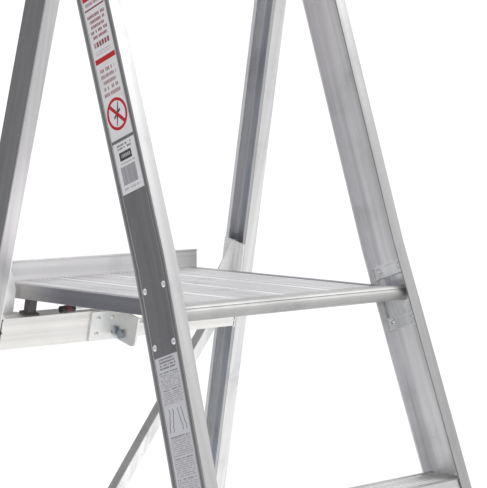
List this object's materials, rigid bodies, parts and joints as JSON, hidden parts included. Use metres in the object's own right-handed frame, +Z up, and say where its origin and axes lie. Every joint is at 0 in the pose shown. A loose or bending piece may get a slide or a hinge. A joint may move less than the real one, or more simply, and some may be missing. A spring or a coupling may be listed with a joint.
{
  "type": "platform step ladder",
  "caption": "Folding aluminium platform step ladder with a flared front frame with treads, a hinged rear frame, a tilting platform and a moulded top cap.",
  "frame": {"origin": "on the floor under the middle of the open ladder's footprint", "axes": "+X to the climber's right, +Y from the front climbing frame to the rear frame, +Z up; the ladder stands open"},
  "size_m": [0.7166, 1.2142, 1.902],
  "materials": {
    "mill_aluminium": "extruded mill finish with fine lines along each length",
    "bright_aluminium": "bright extruded finish",
    "zinc_hardware": "zinc plated, satin",
    "foot_rubber": "matt",
    "black_nylon": "moulded, satin",
    "cap_plastic": "moulded with a light grain",
    "label": "printed film"
  },
  "bodies": {
    "front_frame": {"front_stile_left": "mill_aluminium", "front_stile_right": "mill_aluminium", "tread_low": "bright_aluminium", "tread_middle": "bright_aluminium", "tread_top": "bright_aluminium", "tread_brackets_low": "bright_aluminium", "tread_brackets_middle": "bright_aluminium", "tread_brackets_top": "bright_aluminium", "tread_rivets": "zinc_hardware", "platform_bracket_left": "bright_aluminium", "platform_bracket_right": "bright_aluminium", "platform_bracket_rivets": "zinc_hardware", "hinge_plate_left": "mill_aluminium", "hinge_plate_right": "mill_aluminium", "hinge_plate_rivets": "zinc_hardware", "hinge_bolt_left": "zinc_hardware", "hinge_bolt_right": "zinc_hardware", "hinge_spacers": "black_nylon", "hinge_nuts": "zinc_hardware", "top_cap": "cap_plastic", "top_cap_screws": "zinc_hardware", "front_foot_left": "foot_rubber", "front_foot_right": "foot_rubber", "front_foot_rivets": "zinc_hardware", "label_upper": "label", "label_middle": "label", "label_lower": "label"},
    "rear_frame": {"rear_stile_left": "mill_aluminium", "rear_stile_right": "mill_aluminium", "rear_gusset_left": "mill_aluminium", "rear_gusset_right": "mill_aluminium", "gusset_rivets": "zinc_hardware", "upper_cross_rail": "bright_aluminium", "lower_cross_rail": "bright_aluminium", "lower_rail_brackets": "mill_aluminium", "diagonal_brace": "mill_aluminium", "brace_rivets": "zinc_hardware", "rear_foot_left": "foot_rubber", "rear_foot_right": "foot_rubber", "rear_foot_rivets": "zinc_hardware", "rest_block_left": "black_nylon", "rest_block_right": "black_nylon", "rail_bracket": "zinc_hardware", "rail_bracket_rivets": "zinc_hardware", "latch_bolt": "zinc_hardware", "latch_nut": "zinc_hardware"},
    "platform": {"platform_nose": "bright_aluminium", "nose_bush_left": "black_nylon", "nose_bush_right": "black_nylon", "deck_planks": "bright_aluminium", "side_rail_left": "mill_aluminium", "side_rail_right": "mill_aluminium", "toe_board": "mill_aluminium", "deck_bearers": "mill_aluminium", "deck_rivets": "zinc_hardware", "latch_keeper": "zinc_hardware"},
    "latch": {"latch_lever": "zinc_hardware", "latch_rod": "zinc_hardware", "latch_grip": "black_nylon"}
  },
  "joints": [
    {"name": "rear_fold", "type": "hinge", "parent": "front_frame", "child": "rear_frame", "pos_m": [0, 0.12681, 1.78231], "axis": [-1, 0, 0], "range_deg": [0, 32]},
    {"name": "platform_tilt", "type": "hinge", "parent": "front_frame", "child": "platform", "pos_m": [0, -0.16686, 1.1875], "axis": [1, 0, 0], "range_deg": [0, 62]},
    {"name": "latch_swing", "type": "hinge", "parent": "rear_frame", "child": "latch", "pos_m": [-0.0075, 0.25351, 1.10055], "axis": [1, 0, 0], "range_deg": [0, 30]}
  ],
  "couplings": [
    {"joint": "platform_tilt", "follows": "rear_fold", "ratio": 1.9375}
  ]
}
